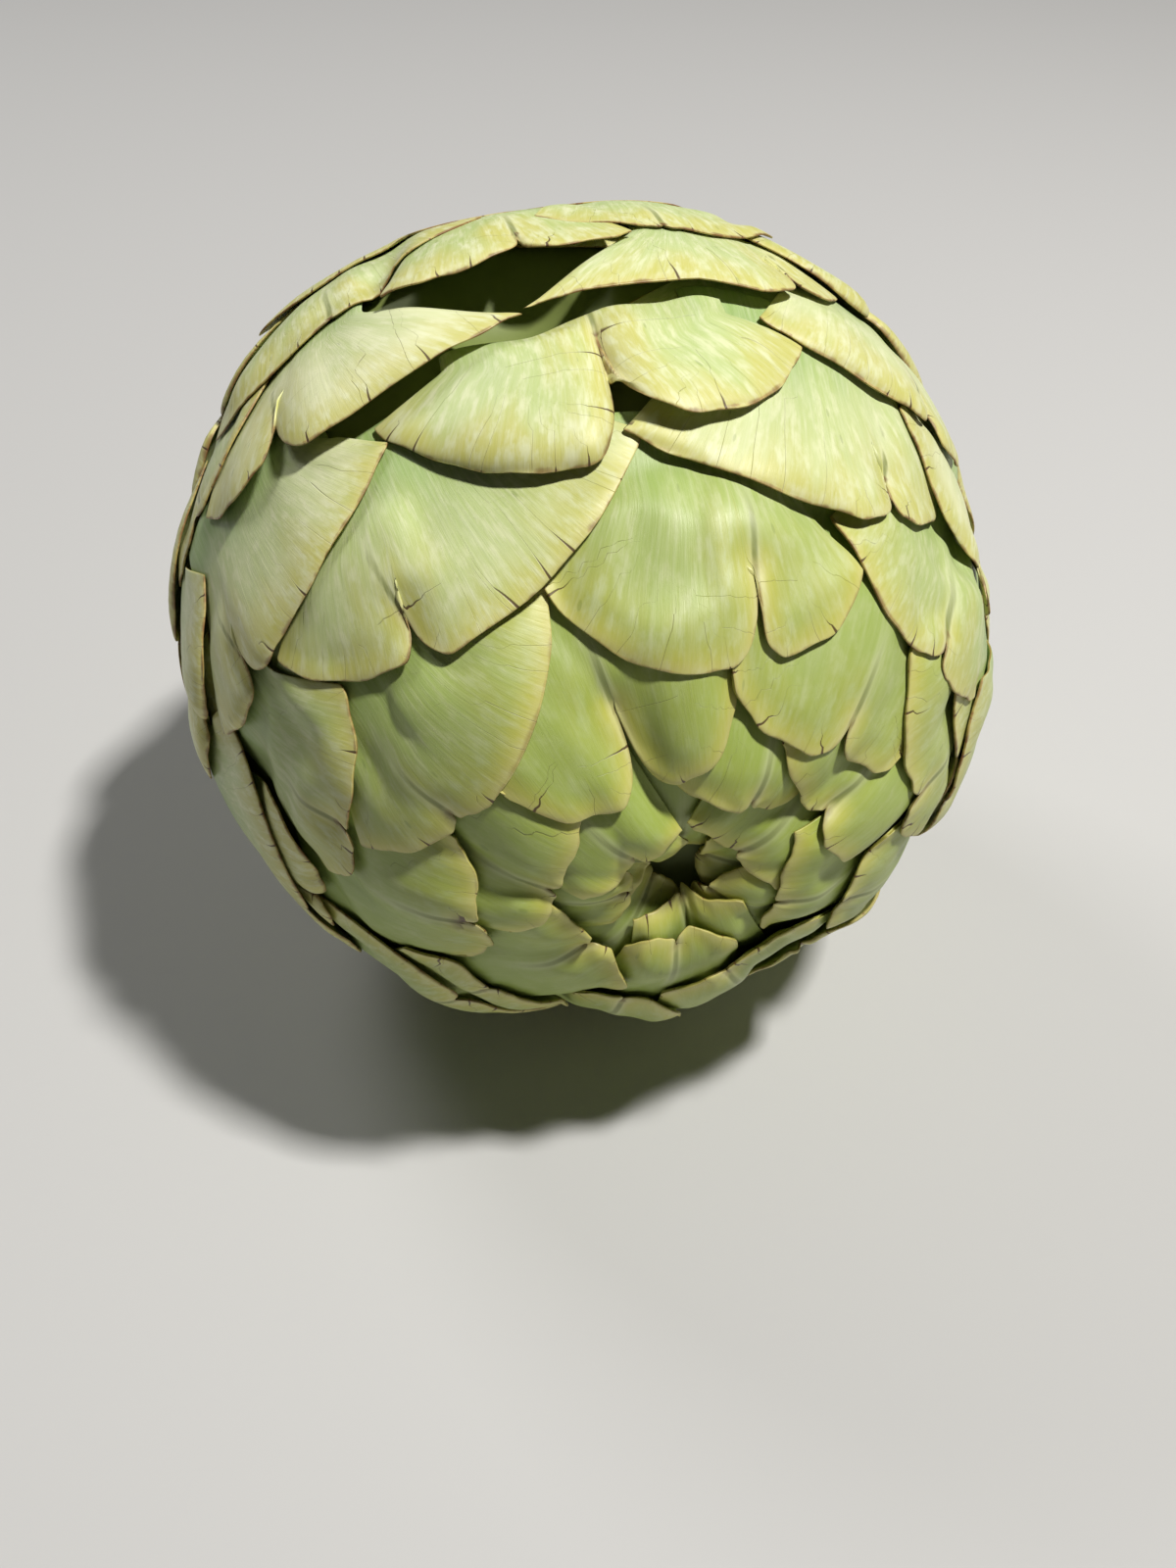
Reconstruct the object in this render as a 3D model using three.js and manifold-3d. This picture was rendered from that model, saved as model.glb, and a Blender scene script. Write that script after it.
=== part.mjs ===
// Globe artichoke, cut from its plant and laid on its side.
// Millimetres, +Z up. The bud's tip points to -Y and the cut stem to +Y.
// The head rests on a small flat spot under its middle.
import * as THREE from 'three';
import { mergeVertices } from 'three/addons/utils/BufferGeometryUtils.js';
import Module from 'manifold-3d';

const headRadius = 56;
const heartRadius = 51.8;
const restCut = 3.0;

const bractLength = 28;
const wideBract = 36;
const archSteps = 2;
const wideArchSteps = 3;
const lobeSteps = 2;
const archSquareShare = 0.65;
const bractTilt = 0.18;
const bractThickness = 2.3;
const rimThickness = 1.0;
const bedSink = 1.2;
const rimDrop = 0.9;
const rimWidth = 2.2;
const sideDrop = 0.8;
const sideTaper = 0.35;
const taperEnd = 0.5;
const frontRows = [0, 0.12, 0.5, 1];
const backRows = [0, 0.14, 1];

const tipHollowDepth = 4.5;
const tipHollowAngle = 9;
const baseFlattening = 0.05;
const flatteningStart = 105;
const flatteningEnd = 180;
const heartSides = 20;
const heartRings = 12;

const mouthRadius = 10;
const mouthTurn = 10;
const mouthAngle = 85;
const mouthSides = 16;
const mouthRings = 10;

const spiralTurn = 137.508;
const spiralStep = 3.1;
const spiralFirst = 34;
const spiralLast = 160;
const spiralAngleJitter = 1.2;
const spiralTurnJitter = 4;
const spiralHalfWidth = 25;
const spiralNarrowing = 9;
const narrowingStart = 125;
const narrowingEnd = 165;
const widthShares = [0.92, 1.08];
const heightShares = [0.5, 0.62];
const notchShares = [-0.3, 0.3];
const notchDepths = [3, 6.5];
const lobeShares = [0.3, 0.4];
const lobeDrops = [0, 2];
const viewedTurn = 12.9;
const viewedAngle = 46.2;
const viewedReach = 62;
const restTurn = 180;
const restAngle = 87;
const restReach = 19;
const spiralSeed = 11;

const stemRadius = 12.5;
const stemLength = 15;
const stemRibs = 9;
const stemRibHeight = 0.7;
const stemSides = 54;
const stemGap = 0.3;
const stemSeat = 49.2;

const bractColour = 0xb4bf84;
const bractRoughness = 0.45;
const stemColour = 0x9aa66c;
const stemRoughness = 0.6;
const mergeDistance = 1e-4;

// Edge of each bract that the front shows, as [turn about the axis, angle from the bud's tip]
// in degrees: first side, first lobe, notch, second lobe, second side. Innermost bracts first.
const frontBracts = {
  tipLowerRight: [[-165, 9], [-135, 4.6], [-124, 5.6], [-110, 4.8], [-80, 9]],
  tipTorn: [[58, 8.5], [75, 6.3], [85, 7.8], [93, 6.5], [120, 10]],
  tipUpperRight: [[-98, 12], [-70, 7.8], [-58, 8.6], [-45, 7.7], [0, 11.5]],
  tipBottom: [[142, 12], [155, 8.2], [176, 9.6], [197, 8.0], [215, 12.5]],
  tipUpperLeft: [[2, 10.5], [22, 8.8], [41, 9.8], [55, 8.9], [78, 13]],
  budRight: [[-135, 16], [-112, 12], [-106, 13.2], [-90, 11.4], [-60, 15.5]],
  budLowerLeft: [[80, 18], [113, 13], [124, 15], [136, 13.1], [158, 19]],
  budTop: [[-50, 18.5], [-35, 14.8], [-28.7, 15.6], [-20, 14.2], [8, 19.5]],
  budLeft: [[38, 20], [62, 16.3], [73, 17.3], [85, 16.3], [97, 21]],
  budBottom: [[176, 23], [192, 17.3], [201, 18.8], [225, 17.9], [238, 22.5]],
  budUpperRight: [[-92, 23.5], [-76, 17.6], [-61, 19.8], [-50, 18.3], [-28, 23.5]],
  innerCentre: [[-12.5, 29], [0, 18.6], [16, 28.2], [31, 18.3], [47.5, 29]],
  innerLowerRight: [[230, 30], [243, 24.4], [247, 25.2], [254, 22.9], [271, 27.5]],
  innerBottom: [[155, 31], [163, 24.6], [166, 26.5], [171, 24], [184, 31]],
  innerLeft: [[67, 30], [82, 24.7], [91, 26.4], [99, 23.6], [117, 31]],
  innerRight: [[-66, 31], [-58, 25.9], [-42.5, 28.6], [-26, 23.7], [-10, 31.5]],
  innerUpperLeft: [[19.5, 44.6], [50, 28.3], [60.5, 31.2], [66, 30.2], [79.5, 40.2]],
  sideRightLow: [[-98, 36], [-88, 29], [-80, 33.2], [-72, 30.3], [-50, 40.5]],
  sideLeftLow: [[112, 39], [124, 32.2], [131, 33.6], [139, 30], [158, 36]],
  middleSplit: [[-33.5, 44.5], [-22, 33.1], [-14, 41.5], [-2, 30.8], [20, 44.6]],
  sideBottom: [[200, 40], [214, 33], [219, 35], [226, 33], [240, 41]],
  middleRight: [[-75, 46], [-62, 40.5], [-57, 44.8], [-47, 39.9], [-29, 50]],
  middleLeft: [[56, 50], [73, 41.5], [79, 43.8], [86, 40.6], [95, 47]],
  limbRightLow: [[-113, 48], [-101, 41.4], [-97, 43.4], [-92, 40.8], [-74, 48]],
  middleUpperLeft: [[-0.4, 59.1], [32, 42.3], [40.5, 50], [46, 45.6], [61, 58.5]],
  limbLeftLow: [[84, 57], [97, 49], [105, 53.8], [109, 50.5], [117, 58]],
  upperRight: [[-53, 61.5], [-42, 53.6], [-38.3, 57.8], [-29, 49.8], [2.2, 58.9]],
  upperSplit: [[-25, 73], [-9.5, 58.6], [2, 73], [10, 54.7], [32, 71.8]],
  outerRight: [[-74, 64], [-68, 55], [-65.5, 63], [-58.5, 58.2], [-41, 70]],
  upperLeft: [[31, 68.8], [57, 58.6], [66.5, 65.4], [72, 60.3], [82, 67]],
  limbRight: [[-62, 79], [-53, 70.2], [-47.8, 75.8], [-40.5, 69.3], [-19, 74.5]],
  limbLeft: [[66, 80], [79, 70.3], [85, 75.6], [91, 71], [100, 80]],
  restBract: [[152, 93], [171, 82.2], [177, 86], [187, 81], [209, 92]],
  crownLeft: [[10, 76.5], [33, 72.2], [43.5, 85], [48.5, 76.6], [61, 85.5]],
  crownRight: [[-37, 91], [-28.5, 82.2], [-26, 86.5], [-15, 77.1], [10, 76.2]],
  limbUpperLeft: [[44, 98], [58, 87.5], [64, 91], [68, 88.5], [80, 97]],
  crownBack: [[-30, 101], [-14, 91.4], [-11, 92.2], [-8, 91.3], [4, 98]],
  crownFlap: [[-6, 88.4], [1, 86.4], [7.5, 91.5], [16, 84.9], [25, 88.8]],
};

// The two crown bracts fall away from each other and leave an open mouth under the flap.
const crownTapers = { crownLeft: [0.72, sideTaper], crownRight: [sideTaper, 0.72] };
const overMouth = ['crownLeft', 'crownRight', 'crownBack', 'crownFlap'];
const bractLifts = { crownFlap: 1.2, crownLeft: 0.4, upperSplit: 0.7, tipBottom: 0.8 };

const wasm = await Module();
wasm.setup();

const radians = THREE.MathUtils.degToRad;
const clamp = THREE.MathUtils.clamp;
const smoothstep = THREE.MathUtils.smoothstep;

const solidFromArrays = (vertProperties, triVerts) => (
  new wasm.Manifold(new wasm.Mesh({ numProp: 3, vertProperties, triVerts }))
);

const solidFromGeometry = (geometry) => {
  geometry.deleteAttribute('normal');
  geometry.deleteAttribute('uv');
  const merged = mergeVertices(geometry, mergeDistance);
  const vertices = new Float32Array(merged.attributes.position.array);
  return solidFromArrays(vertices, new Uint32Array(merged.index.array));
};

const geometryFromSolid = (solid) => {
  const mesh = solid.getMesh();
  const geometry = new THREE.BufferGeometry();
  geometry.setAttribute('position', new THREE.BufferAttribute(new Float32Array(mesh.vertProperties), 3));
  geometry.setIndex(new THREE.BufferAttribute(new Uint32Array(mesh.triVerts), 1));
  geometry.computeVertexNormals();
  return geometry;
};

const seededDraw = (seed) => {
  let state = seed;
  return () => {
    state = (state + 0x6d2b79f5) | 0;
    let t = Math.imul(state ^ (state >>> 15), 1 | state);
    t = (t + Math.imul(t ^ (t >>> 7), 61 | t)) ^ t;
    return ((t ^ (t >>> 14)) >>> 0) / 4294967296;
  };
};

// Directions on the head: `turn` runs round the axis from straight up towards -X,
// `angle` runs from the bud's tip towards the stem. Both in radians.
const budAxis = new THREE.Vector3(0, -1, 0);
const spoke = (turn) => new THREE.Vector3(-Math.sin(turn), 0, Math.cos(turn));
const tangent = (turn) => new THREE.Vector3(-Math.cos(turn), 0, -Math.sin(turn));
const direction = (turn, angle) => (
  budAxis.clone().multiplyScalar(Math.cos(angle)).addScaledVector(spoke(turn), Math.sin(angle))
);

// Distance from the middle to the outside of the head.
const envelope = (angle) => {
  const hollow = tipHollowDepth * Math.exp(-((angle / radians(tipHollowAngle)) ** 2));
  const flattening = baseFlattening * smoothstep(angle, radians(flatteningStart), radians(flatteningEnd));
  return headRadius * (1 - flattening) - hollow;
};

// A point at `across` and `along` mm from the middle of a bract's tip edge.
const bractDirection = (bract, across, along) => {
  const middle = direction(bract.turn, bract.angle + along / headRadius);
  return middle.multiplyScalar(Math.cos(across / headRadius))
    .addScaledVector(tangent(bract.turn), Math.sin(across / headRadius));
};

const toBract = (bract, [turn, angle]) => {
  const point = direction(radians(turn), radians(angle));
  const along = Math.atan2(point.dot(spoke(bract.turn)), point.dot(budAxis)) - bract.angle;
  return { across: headRadius * Math.asin(point.dot(tangent(bract.turn))), along: headRadius * along };
};

// Tip edge through its five points: broad arches at the sides, round lobes falling into the notch.
const lobeFall = (s) => 1 - Math.sqrt(1 - s * s);
const archFall = (s) => archSquareShare * s * s + (1 - archSquareShare) * lobeFall(s);

const stretch = (lobe, end, fall, steps) => {
  const points = [];
  for (let i = 1; i <= steps; i += 1) {
    const s = Math.sin((Math.PI / 2) * (i / steps));
    const across = lobe.across + (end.across - lobe.across) * s;
    points.push({ across, along: lobe.along + (end.along - lobe.along) * fall(s) });
  }
  return points;
};

const tipEdge = (points, sideSteps) => {
  const [side1, lobe1, notch, lobe2, side2] = points;
  return [
    ...stretch(lobe1, side1, archFall, sideSteps).reverse(),
    lobe1,
    ...stretch(lobe1, notch, lobeFall, lobeSteps),
    ...stretch(lobe2, notch, lobeFall, lobeSteps).slice(0, -1).reverse(),
    lobe2,
    ...stretch(lobe2, side2, archFall, sideSteps),
  ];
};

// One bract as a closed blade, its tip edge highest and its root sunk in the heart.
const bractSolid = (bract) => {
  const { edge, rows } = bract;
  const halfWidth = Math.max(-edge[0].across, edge.at(-1).across);
  const top = [];
  const bottom = [];
  edge.forEach((tip) => {
    const taper = bract.tapers[tip.across < 0 ? 0 : 1];
    rows.forEach((row) => {
      const reach = (bractLength - tip.along) * row;
      const across = tip.across * (1 - taper * Math.min(1, row / taperEnd));
      const along = tip.along + reach;
      const drop = rimDrop * Math.exp(-((reach / rimWidth) ** 2)) + sideDrop * (across / halfWidth) ** 2;
      const toPoint = bractDirection(bract, across, along);
      const angle = Math.acos(clamp(toPoint.dot(budAxis), -1, 1));
      const radius = envelope(angle) + bract.lift - bractTilt * along - drop;
      const thickness = bractThickness + (rimThickness - bractThickness) * Math.exp(-reach / rimWidth);
      const bed = envelope(angle) - headRadius + heartRadius - bedSink;
      const inner = bract.open ? radius - thickness : Math.min(bed, radius - thickness);
      top.push(...toPoint.clone().multiplyScalar(radius));
      bottom.push(...toPoint.multiplyScalar(inner));
    });
  });
  const columns = edge.length;
  const count = columns * rows.length;
  const at = (i, j) => i * rows.length + j;
  const triangles = [];
  const lastRow = rows.length - 1;
  const lastColumn = columns - 1;
  const wall = (p, q) => triangles.push(q, p, p + count, q, p + count, q + count);
  for (let i = 0; i < lastColumn; i += 1) {
    for (let j = 0; j < lastRow; j += 1) {
      const [a, b, c, d] = [at(i, j), at(i + 1, j), at(i + 1, j + 1), at(i, j + 1)];
      triangles.push(a, d, c, a, c, b);
      triangles.push(a + count, c + count, d + count, a + count, b + count, c + count);
    }
    wall(at(i, lastRow), at(i + 1, lastRow));
    wall(at(i + 1, 0), at(i, 0));
  }
  for (let j = 0; j < lastRow; j += 1) {
    wall(at(0, j), at(0, j + 1));
    wall(at(lastColumn, j + 1), at(lastColumn, j));
  }
  return solidFromArrays(new Float32Array([...top, ...bottom]), new Uint32Array(triangles));
};

const frontBract = (name, points) => {
  const bract = {
    turn: radians((points[0][0] + points[4][0]) / 2),
    angle: radians(Math.min(points[1][1], points[3][1])),
    tapers: crownTapers[name] ?? [sideTaper, sideTaper],
    lift: bractLifts[name] ?? 0,
    open: overMouth.includes(name),
    rows: frontRows,
  };
  const local = points.map((point) => toBract(bract, point));
  const wide = local[4].across - local[0].across > wideBract;
  bract.edge = tipEdge(local, wide ? wideArchSteps : archSteps);
  return bractSolid(bract);
};

// Bracts of the hidden sides follow the plant's spiral and get smaller towards the stem.
const spiralBracts = () => {
  const draw = seededDraw(spiralSeed);
  const between = ([low, high]) => low + (high - low) * draw();
  const viewed = direction(radians(viewedTurn), radians(viewedAngle));
  const rest = direction(radians(restTurn), radians(restAngle));
  const solids = [];
  const count = Math.floor((spiralLast - spiralFirst) / spiralStep);
  for (let i = 0; i <= count; i += 1) {
    const angleShift = between([-spiralAngleJitter, spiralAngleJitter]);
    const angle = radians(spiralFirst + spiralStep * i + angleShift);
    const turn = radians(spiralTurn * i + between([-spiralTurnJitter, spiralTurnJitter]));
    const narrowing = smoothstep(angle, radians(narrowingStart), radians(narrowingEnd));
    const halfWidth = (spiralHalfWidth - spiralNarrowing * narrowing) * between(widthShares);
    const height = halfWidth * between(heightShares);
    const notch = halfWidth * between(notchShares);
    const notchDepth = between(notchDepths);
    const lobeSpread = halfWidth * between(lobeShares);
    const lobeStep = between(lobeDrops);
    const tip = direction(turn, angle);
    if (tip.angleTo(viewed) < radians(viewedReach) || tip.angleTo(rest) < radians(restReach)) {
      continue;
    }
    const points = [
      { across: -halfWidth, along: height },
      { across: notch - lobeSpread, along: lobeStep },
      { across: notch, along: notchDepth },
      { across: notch + lobeSpread, along: 0 },
      { across: halfWidth, along: height },
    ];
    const tapers = [sideTaper, sideTaper];
    const edge = tipEdge(points, archSteps);
    solids.push(bractSolid({ turn, angle, tapers, lift: 0, rows: backRows, edge }));
  }
  return solids;
};

const heartSolid = () => {
  const geometry = new THREE.SphereGeometry(1, heartSides, heartRings);
  geometry.rotateX(Math.PI);
  const position = geometry.attributes.position;
  const point = new THREE.Vector3();
  for (let i = 0; i < position.count; i += 1) {
    point.fromBufferAttribute(position, i).normalize();
    const angle = Math.acos(clamp(point.dot(budAxis), -1, 1));
    point.multiplyScalar(envelope(angle) - headRadius + heartRadius);
    position.setXYZ(i, point.x, point.y, point.z);
  }
  return solidFromGeometry(geometry);
};

const boxSolid = (width, depth, height, x, y, z) => (
  solidFromGeometry(new THREE.BoxGeometry(width, depth, height).translate(x, y, z))
);

const headSolid = () => {
  const blades = Object.entries(frontBracts).map(([name, points]) => [name, frontBract(name, points)]);
  const under = blades.filter(([name]) => !overMouth.includes(name)).map(([, solid]) => solid);
  const over = blades.filter(([name]) => overMouth.includes(name)).map(([, solid]) => solid);
  const mouthCentre = direction(radians(mouthTurn), radians(mouthAngle)).multiplyScalar(headRadius);
  const mouthBall = new THREE.SphereGeometry(mouthRadius, mouthSides, mouthRings);
  const mouth = solidFromGeometry(mouthBall.translate(...mouthCentre));
  const inner = wasm.Manifold.union([heartSolid(), ...under]).subtract(mouth);
  const whole = wasm.Manifold.union([inner, ...over, ...spiralBracts()]);
  const wide = 4 * headRadius;
  const floor = boxSolid(wide, wide, wide, 0, 0, restCut - headRadius - wide / 2);
  const seat = boxSolid(wide, wide, wide, 0, stemSeat + wide / 2, 0);
  const trimmed = whole.subtract(floor).subtract(seat);
  const pieces = trimmed.decompose().sort((a, b) => b.volume() - a.volume());
  return pieces[0];
};

const stemGeometry = () => {
  const outline = new THREE.Shape();
  for (let i = 0; i < stemSides; i += 1) {
    const turn = (2 * Math.PI * i) / stemSides;
    const radius = stemRadius - stemRibHeight * (0.5 - 0.5 * Math.cos(stemRibs * turn));
    const [x, y] = [radius * Math.cos(turn), radius * Math.sin(turn)];
    if (i === 0) {
      outline.moveTo(x, y);
    } else {
      outline.lineTo(x, y);
    }
  }
  const geometry = new THREE.ExtrudeGeometry(outline, { depth: stemLength, steps: 1, bevelEnabled: false });
  geometry.rotateX(-Math.PI / 2);
  geometry.translate(0, stemSeat + stemGap, 0);
  return geometry;
};

const named = (name, geometry, colour, roughness) => {
  const material = new THREE.MeshStandardMaterial({ color: colour, roughness, metalness: 0 });
  const mesh = new THREE.Mesh(geometry, material);
  mesh.name = name;
  return mesh;
};

const artichoke = new THREE.Group();
artichoke.add(named('head', geometryFromSolid(headSolid()), bractColour, bractRoughness));
artichoke.add(named('stem', stemGeometry(), stemColour, stemRoughness));

// The origin is under the middle of the whole artichoke, on the surface that it lies on.
const extent = new THREE.Box3().setFromObject(artichoke);
const middle = extent.getCenter(new THREE.Vector3());
artichoke.position.set(-middle.x, -middle.y, -extent.min.z);

export default artichoke;
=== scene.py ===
import bpy
import math
import numpy as np
from mathutils import Matrix, Vector


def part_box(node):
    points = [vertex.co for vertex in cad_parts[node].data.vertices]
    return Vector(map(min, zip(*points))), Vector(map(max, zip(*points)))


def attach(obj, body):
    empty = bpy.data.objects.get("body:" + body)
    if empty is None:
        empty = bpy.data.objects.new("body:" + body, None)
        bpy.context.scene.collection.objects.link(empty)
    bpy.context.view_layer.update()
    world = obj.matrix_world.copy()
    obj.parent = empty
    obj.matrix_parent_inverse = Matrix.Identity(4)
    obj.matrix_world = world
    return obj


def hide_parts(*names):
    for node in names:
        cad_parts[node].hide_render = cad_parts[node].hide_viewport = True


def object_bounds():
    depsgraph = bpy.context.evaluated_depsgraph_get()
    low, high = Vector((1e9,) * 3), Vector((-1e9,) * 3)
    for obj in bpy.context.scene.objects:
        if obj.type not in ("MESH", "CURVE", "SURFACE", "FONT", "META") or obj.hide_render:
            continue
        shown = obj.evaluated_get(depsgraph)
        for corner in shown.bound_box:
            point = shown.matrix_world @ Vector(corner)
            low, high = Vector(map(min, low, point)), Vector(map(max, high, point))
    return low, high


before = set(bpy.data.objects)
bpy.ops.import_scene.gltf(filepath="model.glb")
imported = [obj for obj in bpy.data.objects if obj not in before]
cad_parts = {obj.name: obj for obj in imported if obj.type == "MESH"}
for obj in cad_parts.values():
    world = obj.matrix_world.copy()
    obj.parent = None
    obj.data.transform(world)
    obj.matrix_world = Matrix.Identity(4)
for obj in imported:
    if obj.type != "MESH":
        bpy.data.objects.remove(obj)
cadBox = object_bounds()
print("frame loaded")

mm = 0.001
boxMargin = 0.02 * mm          # what every piece keeps inside the solids' box

# The head's own frame: its middle, and turns and angles about the bud axis, as the solids have them
head = {
    "radius": 55.95,
    "restHeight": 53.0,
    "stemRadius": 12.5,
    "stemEnd": 64.5,           # from the middle to the cut end of the stem
    "tipHollowDepth": 6.5,
    "tipHollowAngle": 10.5,
    "baseFlattening": 0.05,
    "flatteningStart": 105,
    "heartRadius": 51.0,
    "stemSeat": 49.2,
}

stemLow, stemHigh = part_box("stem")
headCentre = Vector((stemHigh[0] - head["stemRadius"] * mm, stemHigh[1] - head["stemEnd"] * mm,
                     head["restHeight"] * mm))

# One bract, in millimetres. Names with inner are for the young bracts round the bud's tip
bractShape = {
    "length": 30.0,
    "thickness": 0.75,
    "innerThickness": 1.5,
    "rimFlesh": 0.3,          # share of the thickness that is left at the rim
    "fleshWidth": 4.0,        # from the rim to the full thickness
    "clearance": 0.06,
    "tilt": 0.17,             # fall of a blade towards its root
    "innerTilt": 0.7,
    "rollWidth": 5.0,         # strip along the rim that rolls down
    "rollShare": 0.45,
    "hug": 0.1,               # share of its height that a rim keeps above the bract under it
    "openHug": 0.75,          # the same for the bracts round the mouth
    "lobeHug": 0.3,
    "sideDrop": 1.5,
    "sideTaper": 0.35,        # how much narrower a blade is at its root
    "innerTaper": -0.5,
    "innerAngle": 25.0,
    "taperEnd": 0.5,
    "taperRounds": 3,
    "archSquareShare": 0.65,
    "lobeFullness": 3.0,
    "notchFade": 0.5,         # share of a blade over which its rows forget the notch
    "rowSpacing": 1.6,
    "lobeValley": 0.26,       # fold that runs up from the notch
    "innerValley": 0.8,
    "valleyWidth": 3.0,
    "lobeReach": 7.0,
    "ridge": 0.045,
    "ridgeStart": 3.0,
    "ripple": 0.2,
    "innerRipple": 0.3,
    "rippleReach": 9.0,
    "crumple": 0.5,
    "pillow": 0.9,            # swelling along the rims of the young bracts
    "pillowWidth": 13.0,
    "pillowSide": 0.6,
    "waveWidth": 24.0,        # bracts narrower than this have weaker waves in their rims
    "blend": 0.35,
    "bulgeRoom": 1.2,         # how far a bract may stand out of the head's round form
    "settling": 0.5,          # softness with which bracts are pressed down to that limit
    "gridReach": 0.8,
    "gridMiddle": 10.0,
    "uvSpan": 50.0,
}

# Waves of a blade, each as (share, pace in radians a millimetre, phase)
bladeWaves = {
    "rim": ((0.28, 1.1, 17), (0.16, 2.9, 41)),
    "ridge": ((1, 0.9, 12), (0.6, 2.1, 31)),
    "crumpleAcross": ((1, 0.55, 9),),
    "crumpleAlong": ((1, 0.6, 14),),
    "ripple": ((1, 0.45, 20),),
}

# Faces of a blade: across each side arch, across each half lobe, and along
bractSteps = {"viewed": (10, 8, 24), "cover": (7, 5, 18), "spiral": (5, 4, 16), "edge": (14, 12)}

# The head is lower at the crown's back, behind the mouth
crownDip = {"turn": 2, "angle": 117, "radius": 27.0, "depth": 4.6}

# The mouth at the crown: a pit in everything that lies under the crown's bracts
mouth = {"turn": 10, "angle": 85, "radius": 9.0, "depth": 7.0, "steepness": 4}
overMouth = ("crownLeft", "crownRight", "crownBack", "crownFlap")

# Tip edge of each bract in view: first side, first lobe, notch, second lobe, second side,
# each as (turn, angle from the bud's tip) in degrees
frontBracts = {
    "tipLowerRight": ((-165, 9), (-135, 4.6), (-124, 5.6), (-110, 4.8), (-80, 9)),
    "tipTorn": ((58, 8.5), (75, 6.3), (85, 7.8), (93, 6.5), (120, 10)),
    "tipUpperRight": ((-98, 12), (-70, 7.8), (-58, 8.6), (-45, 7.7), (0, 11.5)),
    "tipBottom": ((142, 12), (155, 8.2), (176, 9.6), (197, 8.0), (215, 12.5)),
    "tipUpperLeft": ((2, 10.5), (22, 8.8), (41, 9.8), (55, 8.9), (78, 13)),
    "budRight": ((-135, 16), (-112, 12), (-106, 13.2), (-90, 11.4), (-60, 15.5)),
    "budLowerLeft": ((80, 18), (113, 13), (124, 15), (136, 13.1), (158, 19)),
    "budTop": ((-50, 18.5), (-35, 14.8), (-28.7, 15.6), (-20, 14.2), (8, 19.5)),
    "budLeft": ((38, 20), (62, 16.3), (73, 17.3), (85, 16.3), (97, 21)),
    "budBottom": ((176, 23), (192, 17.3), (201, 18.8), (225, 17.9), (238, 22.5)),
    "budUpperRight": ((-92, 23.5), (-76, 17.6), (-61, 19.8), (-50, 18.3), (-28, 23.5)),
    "innerCentre": ((-12.5, 29), (0, 18.6), (16, 28.2), (31, 18.3), (47.5, 29)),
    "innerLowerRight": ((230, 30), (243, 24.4), (247, 25.2), (254, 22.9), (271, 27.5)),
    "innerBottom": ((155, 31), (163, 24.6), (166, 26.5), (171, 24), (184, 31)),
    "innerLeft": ((67, 30), (82, 24.7), (91, 26.4), (99, 23.6), (117, 31)),
    "innerRight": ((-66, 31), (-58, 25.9), (-42.5, 28.6), (-26, 23.7), (-10, 31.5)),
    "innerUpperLeft": ((19.5, 44.6), (50, 28.3), (60.5, 31.2), (66, 30.2), (79.5, 40.2)),
    "sideRightLow": ((-98, 36), (-88, 29), (-80, 33.2), (-72, 30.3), (-50, 40.5)),
    "sideLeftLow": ((112, 39), (124, 32.2), (131, 33.6), (139, 30), (158, 36)),
    "middleSplit": ((-33.5, 44.5), (-22, 33.1), (-14, 41.5), (-2, 30.8), (20, 44.6)),
    "sideBottom": ((200, 40), (214, 33), (219, 35), (226, 33), (240, 41)),
    "middleRight": ((-75, 46), (-62, 40.5), (-57, 44.8), (-47, 39.9), (-29, 50)),
    "middleLeft": ((56, 50), (73, 41.5), (79, 43.8), (86, 40.6), (95, 47)),
    "limbRightLow": ((-113, 48), (-101, 41.4), (-97, 43.4), (-92, 40.8), (-74, 48)),
    "middleUpperLeft": ((-0.4, 59.1), (32, 42.3), (40.5, 50), (46, 45.6), (61, 58.5)),
    "limbLeftLow": ((84, 57), (97, 49), (105, 53.8), (109, 50.5), (117, 58)),
    "upperRight": ((-53, 61.5), (-42, 53.6), (-38.3, 57.8), (-29, 49.8), (2.2, 58.9)),
    "upperSplit": ((-25, 73), (-9.5, 58.6), (2, 73), (10, 54.7), (32, 71.8)),
    "outerRight": ((-74, 64), (-68, 55), (-65.5, 63), (-58.5, 58.2), (-41, 70)),
    "upperLeft": ((31, 68.8), (57, 58.6), (66.5, 65.4), (72, 60.3), (82, 67)),
    "limbRight": ((-62, 79), (-53, 70.2), (-47.8, 75.8), (-40.5, 69.3), (-19, 74.5)),
    "limbLeft": ((66, 80), (79, 70.3), (85, 75.6), (91, 71), (100, 80)),
    "restBract": ((152, 93), (171, 82.2), (177, 86), (187, 81), (209, 92)),
    "crownLeft": ((10, 76.5), (33, 72.2), (43.5, 85), (48.5, 76.6), (61, 85.5)),
    "crownRight": ((-37, 91), (-28.5, 82.2), (-26, 86.5), (-15, 77.1), (10, 76.2)),
    "limbUpperLeft": ((44, 98), (58, 87.5), (64, 91), (68, 88.5), (80, 97)),
    "crownBack": ((-30, 101), (-14, 91.4), (-11, 92.2), (-8, 91.3), (4, 98)),
    "crownFlap": ((-6, 88.4), (1, 86.4), (7.5, 91.5), (16, 84.9), (25, 88.8)),
}
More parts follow.
